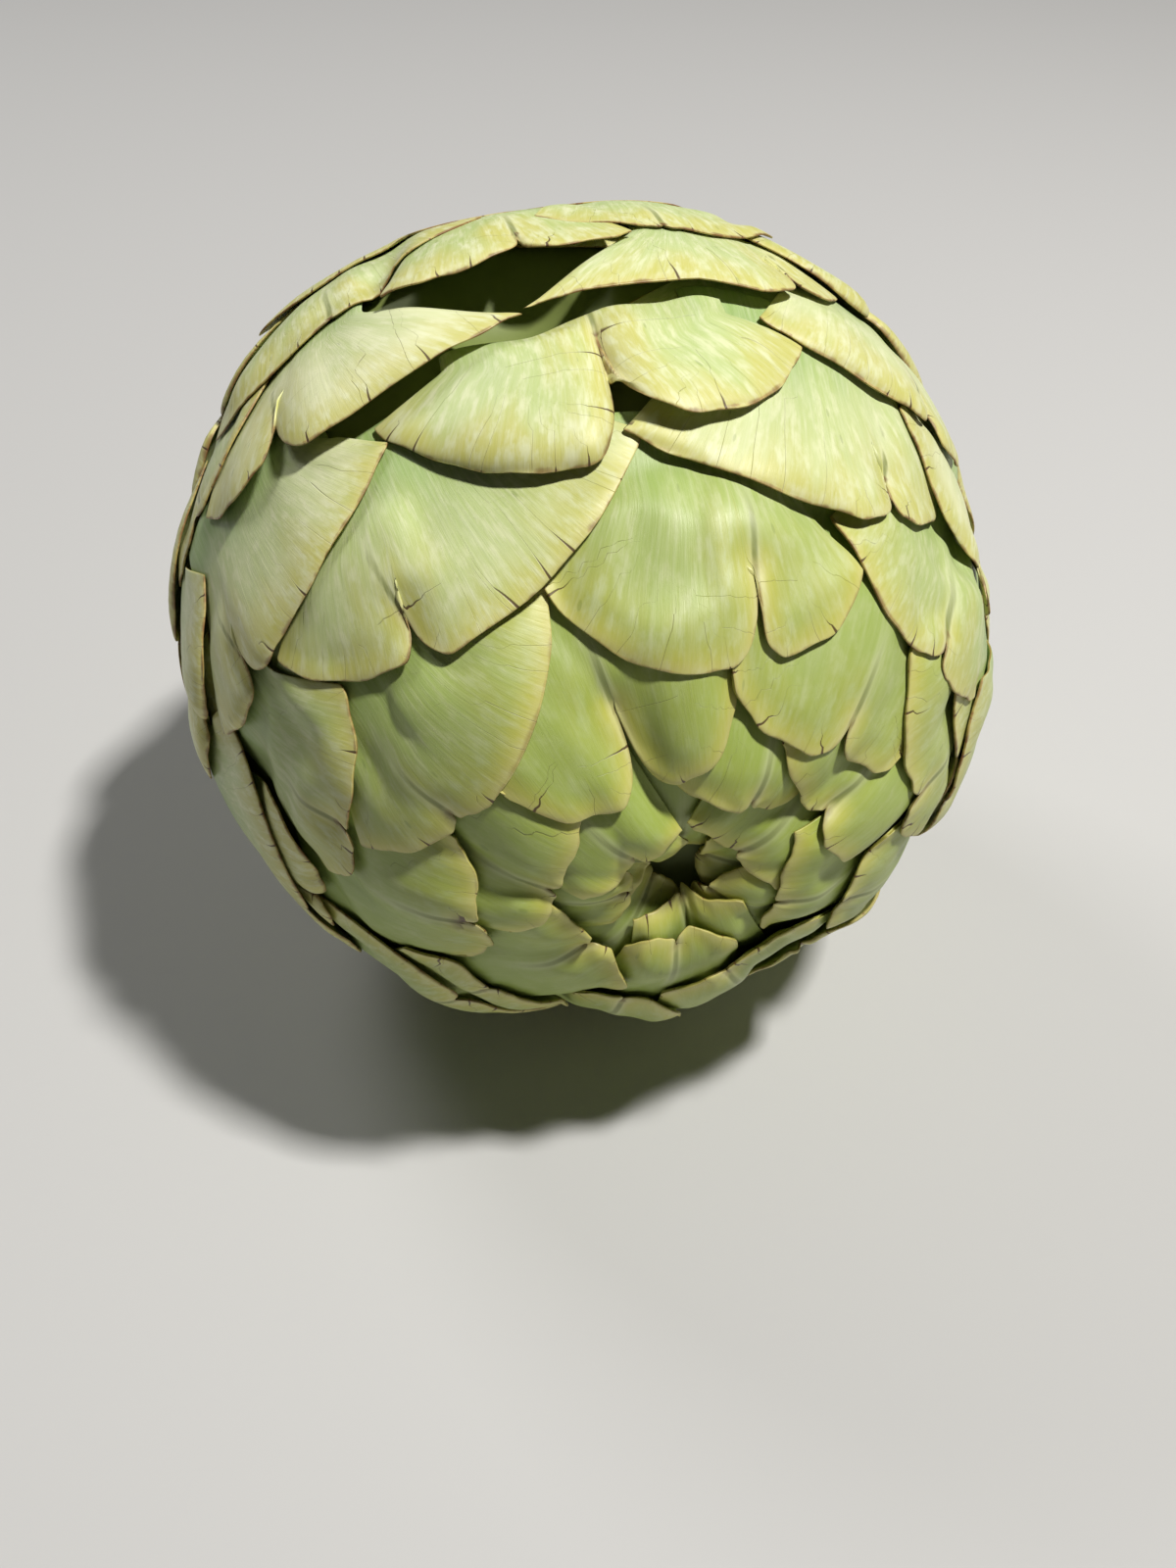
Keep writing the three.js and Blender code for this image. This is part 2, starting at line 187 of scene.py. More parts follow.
# Bracts that close the crown's back and the flanks, out of the camera's sight
coverBracts = {
    "crownCoverRight": ((-44, 114), (-29, 110), (-22, 110.6), (-14, 109.5), (3, 114)),
    "crownCoverLeft": ((0, 114), (14, 109), (20, 109.6), (28, 108.5), (47, 113)),
    "crownCoverFar": ((10, 103), (26, 95.5), (33, 96.3), (41, 95), (59, 102)),
    "sideCover": ((-113, 76), (-99, 67.5), (-92, 68.2), (-85, 66.8), (-70, 73)),
    "sideCoverBack": ((-106, 93), (-91, 84.5), (-83, 85.2), (-74, 83.5), (-56, 91)),
    "leftCover": ((84, 96), (98, 88), (105, 88.8), (112, 87.5), (128, 96)),
}

# Small folded tips inside the bud's tip
coreTips = {"count": 5, "turn": 137.5, "first": 2.6, "step": 0.5, "halfTurn": 58, "depth": 3.6, "lift": -1.0,
            "firstLobe": 0.4, "secondLobe": 0.35, "notchRise": 0.8}

# What single bracts have of their own: length, tapers of the two sides, lift, bloom and lift of the two lobes
bractLengths = {"upperSplit": 21.5, "crownLeft": 36}
crownTapers = {"crownLeft": (0.72, 0.45), "crownRight": (0.35, 0.72)}
bractLifts = {"crownFlap": 1.2, "crownLeft": 0.4, "upperSplit": 0.5, "tipBottom": 0.8, "crownBack": -2.8,
              "limbUpperLeft": -2.6, "crownCoverRight": -2.0, "crownCoverLeft": -3.2,
              "crownCoverFar": -3.6, "sideCover": -1.6, "sideCoverBack": -0.8}
bractFrost = {"crownLeft": 0.75, "upperLeft": 0.45, "outerRight": 0.8, "limbRight": 0.5,
              "limbLeft": 0.45, "upperRight": 0.35, "upperSplit": 0.1, "middleUpperLeft": 0.25,
              "crownRight": 0.2, "crownFlap": 0.0}
lobeLifts = {"upperSplit": (2.6, 0.2), "crownLeft": (0.2, 0.9), "innerCentre": (0.8, 0.3),
             "upperLeft": (0.4, 0.4)}

# How age runs from the bud's tip outwards, and what the bracts get by draw
ageing = {
    "youngAngle": 8,
    "grownAngle": 62,
    "seedStep": 0.6180339,
    "frost": 0.12,
    "lobeSeed": 5,
    "lobeLift": 0.6,
    "innerLobeLift": 0.8,
}

# Bracts of the hidden sides follow the plant's spiral, and so do those that fill in under all others
spiral = {
    "name": "back",
    "turn": 137.508,
    "step": 3.1,
    "first": 34,
    "last": 160,
    "viewed": (12.9, 46.2),
    "viewedReach": 62,
    "rest": (180, 87),
    "restReach": 19,
    "seed": 11,
    "lift": 0.0,
    "tilt": 0.17,
}
underSpiral = {**spiral, "name": "under", "step": 3.9, "first": 40, "last": 135, "viewedReach": 30,
               "restReach": 12, "seed": 23, "lift": -3.3, "tilt": 0.04}

# What is drawn for each bract of a spiral, as (lowest, highest)
spiralDraws = {
    "angle": (-1.2, 1.2),
    "turn": (-4, 4),
    "widthShare": (0.92, 1.08),
    "heightShare": (0.5, 0.62),
    "notchShare": (-0.3, 0.3),
    "notchDepth": (3, 6.5),
    "lobeShare": (0.3, 0.4),
    "lobeStep": (0, 2),
}
spiralWidth = {"half": 25, "loss": 9, "lossStart": 125, "lossEnd": 165}


# Directions on the head, from turns and angles in radians

def direction(turn, angle):
    return np.stack([-np.sin(angle) * np.sin(turn), -np.cos(angle) + 0 * turn,
                     np.sin(angle) * np.cos(turn)], axis=-1)


def tangentOf(turn):
    return np.array([-math.cos(turn), 0.0, -math.sin(turn)])


def smoothStep(x, low, high):
    t = np.clip((x - low) / (high - low), 0, 1)
    return t * t * (3 - 2 * t)


def envelope(angle):
    hollow = head["tipHollowDepth"] * np.exp(-((angle / math.radians(head["tipHollowAngle"])) ** 2))
    flat = head["baseFlattening"] * smoothStep(angle, math.radians(head["flatteningStart"]), math.pi)
    return head["radius"] * (1 - flat) - hollow


def toBract(bract, points):
    along = np.arctan2(points @ direction(bract["turn"], math.pi / 2), -points[..., 1]) - bract["angle"]
    across = np.arcsin(np.clip(points @ tangentOf(bract["turn"]), -1, 1))
    return across * head["radius"], along * head["radius"]


def fromBract(bract, across, along):
    x, y = across / head["radius"], along / head["radius"]
    middle = direction(bract["turn"] + 0 * y, bract["angle"] + y)
    return np.cos(x)[..., None] * middle + np.sin(x)[..., None] * tangentOf(bract["turn"])


# Bracts: where they are

def archFall(s):
    share = bractShape["archSquareShare"]
    return share * s * s + (1 - share) * (1 - np.sqrt(1 - s * s))


def lobeFall(s):
    power = bractShape["lobeFullness"]
    return 1 - (1 - s ** power) ** (1 / power)


def waves(name, place, bract):
    return sum(share * np.sin(pace * place + phase * bract["seed"])
               for share, pace, phase in bladeWaves[name])


def edgeAlong(bract, across):
    (x1, y1), (x2, y2), (x3, y3), (x4, y4), (x5, y5) = bract["points"]
    s12 = np.clip((across - x2) / (x1 - x2), 0, 1)
    s23 = np.clip((across - x2) / (x3 - x2), 0, 1)
    s43 = np.clip((across - x4) / (x3 - x4), 0, 1)
    s45 = np.clip((across - x4) / (x5 - x4), 0, 1)
    first = np.where(across < x2, y2 + (y1 - y2) * archFall(s12), y2 + (y3 - y2) * lobeFall(s23))
    second = np.where(across > x4, y4 + (y5 - y4) * archFall(s45), y4 + (y3 - y4) * lobeFall(s43))
    wave = waves("rim", across, bract) * min(1, (x5 - x1) / bractShape["waveWidth"])
    return np.where(across < x3, first, second) + wave


def edgeColumns(bract, archSteps, lobeSteps):
    x1, x2, x3, x4, x5 = (point[0] for point in bract["points"])
    arch = np.sin(np.linspace(0, math.pi / 2, archSteps + 1))
    lobe = np.sin(np.linspace(0, math.pi / 2, lobeSteps + 1))
    return np.concatenate([
        (x2 + (x1 - x2) * arch)[::-1],
        (x2 + (x3 - x2) * lobe)[1:],
        (x4 + (x3 - x4) * lobe)[::-1][1:],
        (x4 + (x5 - x4) * arch)[1:],
    ])


def seededDraw(seed):
    mask = 0xFFFFFFFF
    state = seed
    while True:
        state = (state + 0x6D2B79F5) & mask
        t = ((state ^ (state >> 15)) * (1 | state)) & mask
        t = ((t + (((t ^ (t >> 7)) * (61 | t)) & mask)) & mask) ^ t
        yield (t ^ (t >> 14)) / 2 ** 32


def frontBract(name, edge):
    bract = {
        "name": name,
        "turn": math.radians((edge[0][0] + edge[4][0]) / 2),
        "angle": math.radians(min(edge[1][1], edge[3][1])),
        "tapers": crownTapers.get(name, (bractShape["sideTaper"],) * 2),
        "lift": bractLifts.get(name, 0.0),
        "steps": bractSteps["cover" if name in coverBracts else "viewed"],
    }
    if bract["angle"] < math.radians(bractShape["innerAngle"]):
        bract["tapers"] = (bractShape["innerTaper"],) * 2
    points = np.array([direction(math.radians(turn), math.radians(angle)) for turn, angle in edge])
    bract["points"] = list(zip(*toBract(bract, points)))
    return bract


def coreBracts():
    made = []
    for i in range(coreTips["count"]):
        turn = coreTips["turn"] * i
        tip = coreTips["first"] + coreTips["step"] * i
        side = tip + coreTips["depth"]
        half = coreTips["halfTurn"]
        bract = frontBract(f"core{i}", ((turn - half, side), (turn - half * coreTips["firstLobe"], tip),
                                        (turn, tip + coreTips["notchRise"]),
                                        (turn + half * coreTips["secondLobe"], tip), (turn + half, side)))
        bract["lift"] = coreTips["lift"]
        made.append(bract)
    return made


def spiralBracts(plan):
    draws = seededDraw(plan["seed"])

    def drawn(name):
        low, high = spiralDraws[name]
        return low + (high - low) * next(draws)

    viewed = direction(*(math.radians(v) for v in plan["viewed"]))
    rest = direction(*(math.radians(v) for v in plan["rest"]))
    lossStart, lossEnd = math.radians(spiralWidth["lossStart"]), math.radians(spiralWidth["lossEnd"])
    made = []
    count = math.floor((plan["last"] - plan["first"]) / plan["step"])
    for i in range(count + 1):
        angle = math.radians(plan["first"] + plan["step"] * i + drawn("angle"))
        turn = math.radians(plan["turn"] * i + drawn("turn"))
        loss = spiralWidth["loss"] * float(smoothStep(angle, lossStart, lossEnd))
        halfWidth = (spiralWidth["half"] - loss) * drawn("widthShare")
        height = halfWidth * drawn("heightShare")
        notch = halfWidth * drawn("notchShare")
        notchDepth = drawn("notchDepth")
        lobeSpread = halfWidth * drawn("lobeShare")
        lobeStep = drawn("lobeStep")
        tip = direction(turn, angle)
        if math.acos(tip @ viewed) < math.radians(plan["viewedReach"]):
            continue
        if math.acos(tip @ rest) < math.radians(plan["restReach"]):
            continue
        made.append({
            "name": f"{plan['name']}{i:02d}",
            "turn": turn,
            "angle": angle,
            "tapers": (bractShape["sideTaper"],) * 2,
            "lift": plan["lift"],
            "tilt": plan["tilt"],
            "steps": bractSteps["spiral"],
            "points": [(-halfWidth, height), (notch - lobeSpread, lobeStep), (notch, notchDepth),
                       (notch + lobeSpread, 0.0), (halfWidth, height)],
        })
    return made


# Bracts: how high they stand. Each lies on what the ones before it left in the relief

relief = {"cell": 0.5, "turnSteps": 720, "angleSteps": 361, "softening": (1, 2)}
reliefTurns = np.radians(np.arange(relief["turnSteps"]) * relief["cell"])
reliefAngles = np.radians(np.arange(relief["angleSteps"]) * relief["cell"])
gridAngle, gridTurn = np.meshgrid(reliefAngles, reliefTurns, indexing="ij")
reliefPoints = direction(gridTurn, gridAngle)


def mouthPit(points):
    middle = direction(math.radians(mouth["turn"]), math.radians(mouth["angle"]))
    away = np.arccos(np.clip(points @ middle, -1, 1)) * head["radius"]
    return mouth["depth"] * np.exp(-((away / mouth["radius"]) ** mouth["steepness"]))


def heartHeight(points):
    angle = np.arccos(np.clip(-points[..., 1], -1, 1))
    return envelope(angle) - head["radius"] + head["heartRadius"] - mouthPit(points)


reliefHeight = heartHeight(reliefPoints)


def roomAlong(points):          # from the head's middle to the solids' box
    corners = (np.array(cadBox) - np.array(headCentre)) / mm
    nearZero = 1e-6
    steep = np.where(np.abs(points) < nearZero, nearZero, points)
    return np.min(np.where(steep > 0, corners[1], corners[0]) / steep, axis=-1)


def settled(points, height):          # presses a stack of bracts down, and keeps their order
    angle = np.arccos(np.clip(-points[..., 1], -1, 1))
    back = direction(math.radians(crownDip["turn"]), math.radians(crownDip["angle"]))
    away = np.arccos(np.clip(points @ back, -1, 1)) * head["radius"]
    limit = np.minimum(roomAlong(points), envelope(angle) + bractShape["bulgeRoom"])
    limit = limit - crownDip["depth"] * np.exp(-((away / crownDip["radius"]) ** 2))
    k = bractShape["settling"]
    return limit - k * np.logaddexp(0, (limit - height) / k)


def sampleRelief(heights, points):
    angle = np.arccos(np.clip(-points[..., 1], -1, 1))
    turn = np.arctan2(-points[..., 0], points[..., 2]) % (2 * math.pi)
    a = angle / math.radians(relief["cell"])
    t = turn / math.radians(relief["cell"])
    a0 = np.clip(np.floor(a).astype(int), 0, relief["angleSteps"] - 2)
    t0 = np.floor(t).astype(int) % relief["turnSteps"]
    t1 = (t0 + 1) % relief["turnSteps"]
    fa, ft = a - a0, t - np.floor(t)
    low = heights[a0, t0] * (1 - ft) + heights[a0, t1] * ft
    high = heights[a0 + 1, t0] * (1 - ft) + heights[a0 + 1, t1] * ft
    return low * (1 - fa) + high * fa


def softened(heights):          # widened, then blurred, so that a bract clears the steps under it
    result = heights
    for step in relief["softening"]:
        result = np.maximum(result, np.maximum(np.roll(result, step, 1), np.roll(result, -step, 1)))
        padded = np.pad(result, ((step, step), (0, 0)), mode="edge")
        result = np.maximum(result, np.maximum(padded[2 * step:], padded[:-2 * step]))
    for step in relief["softening"]:
        result = (2 * result + np.roll(result, step, 1) + np.roll(result, -step, 1)) / 4
        padded = np.pad(result, ((step, step), (0, 0)), mode="edge")
        result = (2 * result + padded[2 * step:] + padded[:-2 * step]) / 4
    return result


def edgeDistance(bract, across, along):          # how far the rim is, and where along it
    edgeX = edgeColumns(bract, *bractSteps["edge"])
    edgeY = edgeAlong(bract, edgeX)
    nearest = np.full(across.shape, np.inf)
    place = np.zeros(across.shape)
    walked = 0.0
    for i in range(len(edgeX) - 1):
        dx, dy = edgeX[i + 1] - edgeX[i], edgeY[i + 1] - edgeY[i]
        s = np.clip(((across - edgeX[i]) * dx + (along - edgeY[i]) * dy) / (dx * dx + dy * dy), 0, 1)
        away = np.hypot(across - edgeX[i] - s * dx, along - edgeY[i] - s * dy)
        closer = away < nearest
        place = np.where(closer, walked + s * math.hypot(dx, dy), place)
        nearest = np.where(closer, away, nearest)
        walked += math.hypot(dx, dy)
    return nearest, place


def lobeRise(bract, across, along):
    (x1, _), _, (x3, y3), _, (x5, _) = bract["points"]
    first, second = bract["lobes"]
    low = np.clip((across - x1) / (x3 - x1), 0, 1) * (across < x3)
    high = np.clip((x5 - across) / (x5 - x3), 0, 1) * (across >= x3)
    return (first * low + second * high) * (1 - smoothStep(along, 0, y3))


def bractHeight(bract, points, across, along, column, under):
    shape = bractShape
    angle = np.arccos(np.clip(-points[..., 1], -1, 1))
    rim, place = edgeDistance(bract, across, along)
    firstSide, lastSide = bract["points"][0][0], bract["points"][4][0]
    halfWidth = max(-firstSide, lastSide)
    toSide = np.clip(np.where(column < 0, column / firstSide, column / lastSide), 0, 1)
    away = np.minimum(rim, (1 - toSide) * halfWidth)
    notchX = bract["points"][2][0]
    tone = bract["tone"]
    valley = np.exp(-((across - notchX) / shape["valleyWidth"]) ** 2) * np.exp(-rim / shape["lobeReach"])
    ridges = waves("ridge", across, bract) * (1 - np.exp(-rim / shape["ridgeStart"]))
    crumple = waves("crumpleAcross", across, bract) * waves("crumpleAlong", along, bract)
    ripple = waves("ripple", across, bract) * np.exp(-rim / shape["rippleReach"])
    tilt = bract.get("tilt", shape["tilt"] + (shape["innerTilt"] - shape["tilt"]) * tone ** 2)
    height = (envelope(angle) + bract["lift"] - tilt * along
              - shape["sideDrop"] * (across / halfWidth) ** 2
              - (shape["lobeValley"] + shape["innerValley"] * tone) * valley
              + shape["ridge"] * ridges + (shape["ripple"] + shape["innerRipple"] * tone) * ripple
              + shape["crumple"] * tone * crumple + lobeRise(bract, across, along))
    if bract["name"] not in overMouth:
        height = height - mouthPit(points)
    flesh = shape["rimFlesh"] + (1 - shape["rimFlesh"]) * np.clip(away / shape["fleshWidth"], 0, 1)
    bed = under + bract["thickness"] * flesh + shape["clearance"]
    pillow = shape["pillow"] * tone ** 2 * (1 - smoothStep(toSide, shape["pillowSide"], 1))
    pillow = pillow * (1 - smoothStep(rim, shape["rollWidth"], shape["pillowWidth"]))
    k = shape["blend"]
    height = k * np.logaddexp(height / k, (bed + pillow) / k)
    roll = np.clip(away / min(shape["rollWidth"], shape["rollShare"] * halfWidth), 0, 1)
    rolled = np.sqrt(1 - (1 - roll) ** 2)
    hug = shape["openHug"] if bract["name"] in overMouth else shape["hug"]
    hug = np.clip(hug + shape["lobeHug"] * lobeRise(bract, across, along), 0, 1)
    return bed + (height - bed) * (hug + (1 - hug) * rolled), rim, place, flesh


def reliefAfter(bract, heights):
    across, along = toBract(bract, reliefPoints)
    middle = fromBract(bract, np.array(0.0), np.array(bractShape["gridMiddle"]))
    near = (reliefPoints @ middle) > math.cos(bractShape["gridReach"])
    x, y = across[near], along[near]
    spread = x.copy()
    length = bract["length"]
    for _ in range(bractShape["taperRounds"]):
        row = np.clip((y - edgeAlong(bract, spread)) / (length - edgeAlong(bract, spread)), 0, 1)
        taper = np.where(x < 0, bract["tapers"][0], bract["tapers"][1])
        spread = x / (1 - taper * np.minimum(1, row / bractShape["taperEnd"]))
    inside = ((spread > bract["points"][0][0]) & (spread < bract["points"][4][0])
              & (y > edgeAlong(bract, spread)) & (y < length))
    height, _, _, _ = bractHeight(bract, reliefPoints[near], x, y, spread, softened(heights)[near])
    result = heights.copy()
    result[near] = np.where(inside, np.maximum(height, heights[near]), heights[near])
    return result


def deselectAll():
    bpy.ops.object.select_all(action="DESELECT")


def setVertices(piece, points):
    piece.data.vertices.foreach_set("co", np.ascontiguousarray(points, dtype=np.float32).ravel())
    piece.data.update()


def keepInside(piece):
    points = np.empty(len(piece.data.vertices) * 3, dtype=np.float32)
    piece.data.vertices.foreach_get("co", points)
    low, high = np.array(cadBox[0]), np.array(cadBox[1])
    setVertices(piece, np.clip(points.reshape(-1, 3), low + boxMargin, high - boxMargin))


def bractPiece(bract, heights):
    archSteps, lobeSteps, rows = bract["steps"]
    edgeX = edgeColumns(bract, archSteps, lobeSteps)
    edgeY = edgeAlong(bract, edgeX)
    columns = len(edgeX) - 1
    deselectAll()
    bpy.ops.mesh.primitive_grid_add(x_subdivisions=columns, y_subdivisions=rows, size=1, calc_uvs=True)
    piece = bpy.context.object
    piece.name = "bract" + bract["name"][0].upper() + bract["name"][1:]
    flat = np.empty(len(piece.data.vertices) * 3, dtype=np.float32)
    piece.data.vertices.foreach_get("co", flat)
    flat = flat.reshape(-1, 3)
    column = np.rint((0.5 - flat[:, 0]) * columns).astype(int)
    row = (flat[:, 1] + 0.5) ** bractShape["rowSpacing"]
    notchX, notchY = bract["points"][2]
    outline = np.interp(edgeX, *zip(*(point for point in bract["points"] if point[0] != notchX)))
    notchShare = 1 - smoothStep(row, 0, bractShape["notchFade"])
    start = outline[column] + (edgeY - outline)[column] * notchShare
    reach = start + (bract["length"] - start) * row - edgeY[column]
    taper = np.where(edgeX[column] < 0, bract["tapers"][0], bract["tapers"][1])
    across = edgeX[column] * (1 - taper * np.minimum(1, row / bractShape["taperEnd"]))
    along = edgeY[column] + reach
    points = fromBract(bract, across, along)
    under = sampleRelief(softened(heights), points)
    height, rim, place, flesh = bractHeight(bract, points, across, along, edgeX[column], under)
    setVertices(piece, points * settled(points, height)[:, None] * mm + np.array(headCentre))
    loops = np.empty(len(piece.data.loops), dtype=np.int32)
    piece.data.loops.foreach_get("vertex_index", loops)
    uv = np.stack([edgeX[column] / bractShape["uvSpan"] + 0.5, reach / bractShape["uvSpan"]], axis=-1)[loops]
    piece.data.uv_layers.active.data.foreach_set("uv", uv.astype(np.float32).ravel())
    layers = {
        "rim": rim,
        "place": place,
        "across": edgeX[column],
        "reach": reach,
        "notch": np.hypot(across - notchX, along - notchY),
        "tone": np.full(len(rim), bract["tone"]),
        "seed": np.full(len(rim), bract["seed"]),
        "crease": np.abs(across - notchX),
        "frost": np.full(len(rim), bract["frost"]),
    }
    piece.data.materials.append(skin)
    piece.data.materials.append(rimSkin)
    for name, values in layers.items():
        layer = piece.data.attributes.new(name, "FLOAT", "POINT")
        layer.data.foreach_set("value", values.astype(np.float32))
    wall = piece.modifiers.new("wall", "SOLIDIFY")
    wall.thickness = bract["thickness"] * mm
    wall.material_offset_rim = 1
    fleshGroup = piece.vertex_groups.new(name="flesh")
    for index, weight in enumerate(flesh):
        fleshGroup.add([index], float(weight), "REPLACE")
    wall.vertex_group = "flesh"
    wall.thickness_vertex_group = 0
    wall.offset = -1
    wall.use_even_offset = False
    smooth = piece.modifiers.new("smooth", "SUBSURF")
    smooth.levels = smooth.render_levels = 1
    bpy.ops.object.modifier_apply(modifier=wall.name)
    bpy.ops.object.modifier_apply(modifier=smooth.name)
    bpy.ops.object.shade_smooth()
    keepInside(piece)
    return piece


# Shader nodes

def feed(tree, target, value):
    if isinstance(value, bpy.types.NodeSocket):
        tree.links.new(value, target)
    else:
        target.default_value = value


def calc(tree, operation, *values, clamp=False):
    made = tree.nodes.new("ShaderNodeMath")
    made.operation = operation
    made.use_clamp = clamp
    for socket, value in zip(made.inputs, values):
        feed(tree, socket, value)
    return made.outputs[0]


def ranged(tree, value, start, end, low=0.0, high=1.0):
    made = tree.nodes.new("ShaderNodeMapRange")
    made.interpolation_type = "SMOOTHSTEP"
    names = ("Value", "From Min", "From Max", "To Min", "To Max")
    for name, entry in zip(names, (value, start, end, low, high)):
        feed(tree, made.inputs[name], entry)
    return made.outputs["Result"]


def mixed(tree, amount, first, second):
    made = tree.nodes.new("ShaderNodeMix")
    made.data_type = "RGBA"
    feed(tree, made.inputs[0], amount)
    feed(tree, made.inputs[6], first)
    feed(tree, made.inputs[7], second)
    return made.outputs[2]


def vector(tree, x, y, z):
    made = tree.nodes.new("ShaderNodeCombineXYZ")
    for socket, value in zip(made.inputs, (x, y, z)):
        feed(tree, socket, value)
    return made.outputs[0]


def noise(tree, place, scale, detail=2.0, roughness=0.5):
    made = tree.nodes.new("ShaderNodeTexNoise")
    for name, value in (("Vector", place), ("Scale", scale), ("Detail", detail), ("Roughness", roughness)):
        feed(tree, made.inputs[name], value)
    return made.outputs[0]


def attribute(tree, name):
    made = tree.nodes.new("ShaderNodeAttribute")
    made.attribute_name = name
    return made.outputs["Fac"]


def newGroup(name, inputs, outputs):
    group = bpy.data.node_groups.new(name, "ShaderNodeTree")
    for entry in inputs:
        group.interface.new_socket(name=entry, in_out="INPUT", socket_type="NodeSocketFloat")
    for entry in outputs:
        group.interface.new_socket(name=entry, in_out="OUTPUT", socket_type="NodeSocketFloat")
    return group, group.nodes.new("NodeGroupInput").outputs, group.nodes.new("NodeGroupOutput").inputs


def useGroup(tree, group, *values):
    made = tree.nodes.new("ShaderNodeGroup")
    made.node_tree = group
    for socket, value in zip(made.inputs, values):
        feed(tree, socket, value)
    return made.outputs


def paint(red, green, blue):
    def linear(value):
        value /= 255
        return value / 12.92 if value <= 0.04045 else ((value + 0.055) / 1.055) ** 2.4
    return (linear(red), linear(green), linear(blue), 1.0)


def newMaterial(name, roughness):
    material = bpy.data.materials.new(name)
    material.use_nodes = True
    tree = material.node_tree
    shader = tree.nodes["Principled BSDF"]
    shader.inputs["Roughness"].default_value = roughness
    return material, tree, shader


def bumped(tree, shader, height, distance, strength):
    made = tree.nodes.new("ShaderNodeBump")
    feed(tree, made.inputs["Height"], height)
    made.inputs["Distance"].default_value = distance
    made.inputs["Strength"].default_value = strength
    tree.links.new(made.outputs["Normal"], shader.inputs["Normal"])


# Long pale fibres, soft patches and a few dark flecks along a blade. Each is a pattern with its own
# pace across and along the blade, in turns a millimetre
fibrePaces = {"Fine": (2.2, 0.13), "Patch": (0.22, 0.07), "Dapple": (0.85, 0.33), "Fleck": (0.32, 0.12)}
fibreDetail = {"Fine": (5.0, 0.7), "Patch": (2.0, 0.5), "Dapple": (3.0, 0.6)}
fibres, given, asked = newGroup("fibreMarks", ("Across", "Reach", "Seed"),
                                ("Fine", "Patch", "Fleck", "Dapple"))
shift = calc(fibres, "MULTIPLY", given["Seed"], 300.0)
spots = {}
for name, (paceAcross, paceAlong) in fibrePaces.items():
    spots[name] = vector(fibres, calc(fibres, "MULTIPLY", given["Across"], paceAcross),
                         calc(fibres, "MULTIPLY", given["Reach"], paceAlong), shift)
for name, (detail, roughness) in fibreDetail.items():
    feed(fibres, asked[name], noise(fibres, spots[name], 1.0, detail, roughness))
cells = fibres.nodes.new("ShaderNodeTexVoronoi")
feed(fibres, cells.inputs["Vector"], spots["Fleck"])
cells.inputs["Scale"].default_value = 1.0
feed(fibres, asked["Fleck"], ranged(fibres, cells.outputs["Distance"], 0.05, 0.09, 1.0, 0.0))

# Brown rim line and the small cracks that run in from it, in millimetres
rimWear = {"pace": 0.35, "thinLine": 0.12, "thickLine": 0.6, "crackSpacing": 4.2, "crackLength": 3.8,
           "crackShare": 0.58, "crackWidth": 0.16, "crackBlur": 0.06}
rimMarks, given, asked = newGroup("rimMarks", ("Rim", "Place", "Seed"), ("Line", "Crack", "Tan"))
shift = calc(rimMarks, "MULTIPLY", given["Seed"], 500.0)
alongRim = calc(rimMarks, "MULTIPLY", given["Place"], rimWear["pace"])
wear = noise(rimMarks, vector(rimMarks, alongRim, shift, 0.0), 1.0, 3.0, 0.6)
lineEnd = ranged(rimMarks, wear, 0.35, 0.72, rimWear["thinLine"], rimWear["thickLine"])
feed(rimMarks, asked["Line"], ranged(rimMarks, given["Rim"], 0.0, lineEnd, 1.0, 0.0))
feed(rimMarks, asked["Tan"], ranged(rimMarks, wear, 0.4, 0.62))
cracks = rimMarks.nodes.new("ShaderNodeTexVoronoi")
cracks.voronoi_dimensions = "1D"
crackPlace = calc(rimMarks, "DIVIDE", given["Place"], rimWear["crackSpacing"])
feed(rimMarks, cracks.inputs["W"], calc(rimMarks, "ADD", crackPlace, shift))
cracks.inputs["Scale"].default_value = 1.0
dice = rimMarks.nodes.new("ShaderNodeSeparateColor")
feed(rimMarks, dice.inputs[0], cracks.outputs["Color"])
crackLength = ranged(rimMarks, dice.outputs[0], rimWear["crackShare"], 1.0, 0.0, rimWear["crackLength"])
crackDone = calc(rimMarks, "DIVIDE", given["Rim"], calc(rimMarks, "MAXIMUM", crackLength, 0.01))
crackLeft = calc(rimMarks, "SUBTRACT", 1.0, crackDone, clamp=True)
crackAway = calc(rimMarks, "MULTIPLY", cracks.outputs["Distance"], rimWear["crackSpacing"])
crackWidth = calc(rimMarks, "MULTIPLY", crackLeft, rimWear["crackWidth"])
fromCrack = calc(rimMarks, "SUBTRACT", crackAway, crackWidth)
blur = rimWear["crackBlur"]
feed(rimMarks, asked["Crack"], ranged(rimMarks, fromCrack, -blur, blur, 1.0, 0.0))

skinColours = {
    "pale": paint(222, 226, 184),
    "frost": paint(236, 237, 194),
    "base": paint(182, 199, 128),
    "warm": paint(198, 196, 108),
    "waxy": paint(148, 179, 110),
    "inner": paint(148, 168, 68),
    "young": paint(184, 186, 74),
    "fibre": paint(232, 234, 204),
    "fleck": paint(110, 130, 66),
    # painted shade for the crease that runs up from the notch
    "foldShade": paint(112, 122, 58),
    "lip": paint(214, 204, 140),
    "tan": paint(186, 152, 92),
    "brown": paint(120, 74, 42),
    "crack": paint(74, 42, 26),
    "notch": paint(104, 66, 38),
    "rim": paint(176, 160, 92),
    "wornRim": paint(132, 90, 50),
    "youngRim": paint(150, 152, 66),
    # painted shade for the rim's cut face beside the notch
    "foldRimShade": paint(92, 84, 40),
}

